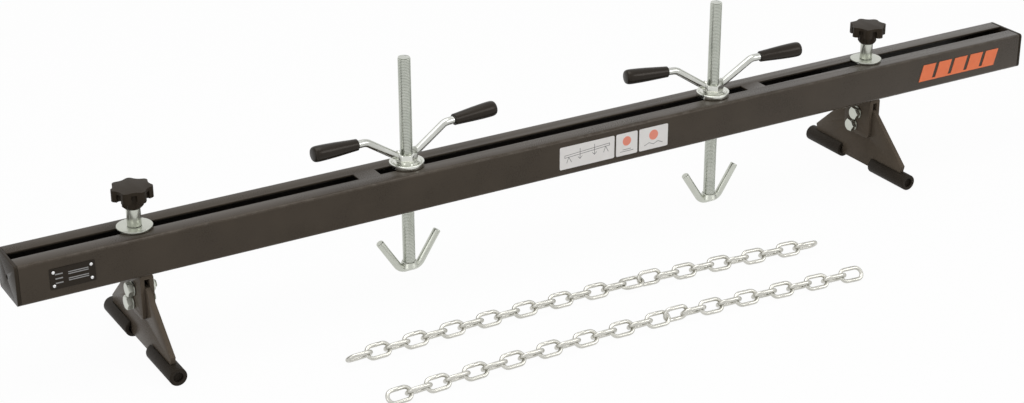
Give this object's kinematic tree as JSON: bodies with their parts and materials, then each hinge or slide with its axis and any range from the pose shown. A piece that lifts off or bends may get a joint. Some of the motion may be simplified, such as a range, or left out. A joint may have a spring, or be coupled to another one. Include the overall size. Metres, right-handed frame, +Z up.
{
  "type": "engine support bar",
  "caption": "Slotted steel bar on two sliding, tilting feet with star knobs, two threaded spindles with handle nuts and double hooks, and loose lifting chains beside it.",
  "frame": {"origin": "on the floor under the feet, under the middle of the whole set's bounding box", "axes": "+X along the bar to the right, +Z up; the front, with the labels and the chains, faces -Y"},
  "size_m": [1.5, 0.4046, 0.3013],
  "materials": {
    "black_powder_coat": "satin charcoal powder coat",
    "zinc_plate": "satin zinc plating",
    "chain_zinc": "bright zinc plating",
    "knob_plastic": "matt black moulded plastic",
    "grip_plastic": "glossy black dipped plastic",
    "foot_rubber": "black rubber hose",
    "label_white": "white film",
    "film_orange": "orange film",
    "rating_black": "black satin sheet",
    "rivet_silver": "bright rivet heads"
  },
  "bodies": {
    "bar": {"bar_tube": "black_powder_coat", "end_plate_left": "black_powder_coat", "end_plate_right": "black_powder_coat", "rating_plate": "rating_black", "rating_rivet_1": "rivet_silver", "rating_rivet_2": "rivet_silver", "rating_rivet_3": "rivet_silver", "rating_rivet_4": "rivet_silver", "label_panel_1": "label_white", "label_panel_2": "label_white", "label_panel_3": "label_white", "accent_film": "film_orange"},
    "support_left": {"support_bracket_left": "black_powder_coat", "clamp_stud_left": "zinc_plate", "clamp_washer_left": "zinc_plate", "pivot_bolt_left": "zinc_plate", "pivot_washer_left": "zinc_plate", "pivot_nut_left": "zinc_plate", "lock_bolt_left": "zinc_plate", "lock_washer_left": "zinc_plate", "lock_nut_left": "zinc_plate"},
    "knob_left": {"clamp_knob_left": "knob_plastic", "knob_bush_left": "zinc_plate"},
    "foot_left": {"foot_plate_left": "black_powder_coat", "foot_sleeve_rear_left": "foot_rubber", "foot_sleeve_front_left": "foot_rubber"},
    "support_right": {"support_bracket_right": "black_powder_coat", "clamp_stud_right": "zinc_plate", "clamp_washer_right": "zinc_plate", "pivot_bolt_right": "zinc_plate", "pivot_washer_right": "zinc_plate", "pivot_nut_right": "zinc_plate", "lock_bolt_right": "zinc_plate", "lock_washer_right": "zinc_plate", "lock_nut_right": "zinc_plate"},
    "knob_right": {"clamp_knob_right": "knob_plastic", "knob_bush_right": "zinc_plate"},
    "foot_right": {"foot_plate_right": "black_powder_coat", "foot_sleeve_rear_right": "foot_rubber", "foot_sleeve_front_right": "foot_rubber"},
    "carriage_left": {"spindle_cup_left": "zinc_plate"},
    "nut_left": {"handle_nut_left": "zinc_plate", "handle_rod_right_left": "zinc_plate", "handle_rod_left_left": "zinc_plate", "handle_grip_right_left": "grip_plastic", "handle_grip_left_left": "grip_plastic"},
    "spindle_left": {"spindle_rod_left": "zinc_plate", "spindle_hook_left": "zinc_plate"},
    "carriage_right": {"spindle_cup_right": "zinc_plate"},
    "nut_right": {"handle_nut_right": "zinc_plate", "handle_rod_right_right": "zinc_plate", "handle_rod_left_right": "zinc_plate", "handle_grip_right_right": "grip_plastic", "handle_grip_left_right": "grip_plastic"},
    "spindle_right": {"spindle_rod_right": "zinc_plate", "spindle_hook_right": "zinc_plate"},
    "chain_rear": {"chain_rear": "chain_zinc"},
    "chain_front": {"chain_front": "chain_zinc"}
  },
  "joints": [
    {"name": "support_left_slide", "type": "slide", "parent": "bar", "child": "support_left", "axis": [1, 0, 0], "range_m": [-0.141, 0.155]},
    {"name": "knob_left_turn", "type": "hinge", "parent": "support_left", "child": "knob_left", "pos_m": [-0.595, 0.09432, 0.1983], "axis": [0, 0, 1], "continuous": true},
    {"name": "foot_left_tilt", "type": "hinge", "parent": "support_left", "child": "foot_left", "pos_m": [-0.595, 0.09432, 0.08129], "axis": [1, 0, 0], "range_deg": [-18, 18]},
    {"name": "support_right_slide", "type": "slide", "parent": "bar", "child": "support_right", "axis": [1, 0, 0], "range_m": [-0.048, 0.248]},
    {"name": "knob_right_turn", "type": "hinge", "parent": "support_right", "child": "knob_right", "pos_m": [0.488, 0.09432, 0.1983], "axis": [0, 0, 1], "continuous": true},
    {"name": "foot_right_tilt", "type": "hinge", "parent": "support_right", "child": "foot_right", "pos_m": [0.488, 0.09432, 0.08129], "axis": [1, 0, 0], "range_deg": [-18, 18]},
    {"name": "spindle_left_travel", "type": "slide", "parent": "bar", "child": "carriage_left", "axis": [1, 0, 0], "range_m": [-0.03, 0.098]},
    {"name": "nut_left_turn", "type": "hinge", "parent": "carriage_left", "child": "nut_left", "pos_m": [-0.238, 0.09432, 0.1683], "axis": [0, 0, 1], "range_deg": [-7200, 19800]},
    {"name": "spindle_left_lift", "type": "slide", "parent": "carriage_left", "child": "spindle_left", "axis": [0, 0, 1], "range_m": [-0.1102, 0.0402]},
    {"name": "spindle_right_travel", "type": "slide", "parent": "bar", "child": "carriage_right", "axis": [1, 0, 0], "range_m": [-0.086, 0.042]},
    {"name": "nut_right_turn", "type": "hinge", "parent": "carriage_right", "child": "nut_right", "pos_m": [0.226, 0.09432, 0.1683], "axis": [0, 0, 1], "range_deg": [-9000, 18000]},
    {"name": "spindle_right_lift", "type": "slide", "parent": "carriage_right", "child": "spindle_right", "axis": [0, 0, 1], "range_m": [-0.1002, 0.0502]},
    {"name": "chain_rear_lift", "type": "slide", "parent": "bar", "child": "chain_rear", "axis": [0, 0, 1], "range_m": [0, 0.15]},
    {"name": "chain_front_lift", "type": "slide", "parent": "bar", "child": "chain_front", "axis": [0, 0, 1], "range_m": [0, 0.15]}
  ],
  "couplings": [
    {"joint": "spindle_left_lift", "follows": "nut_left_turn", "m_per_rad": -0.00031831},
    {"joint": "spindle_right_lift", "follows": "nut_right_turn", "m_per_rad": -0.00031831}
  ]
}
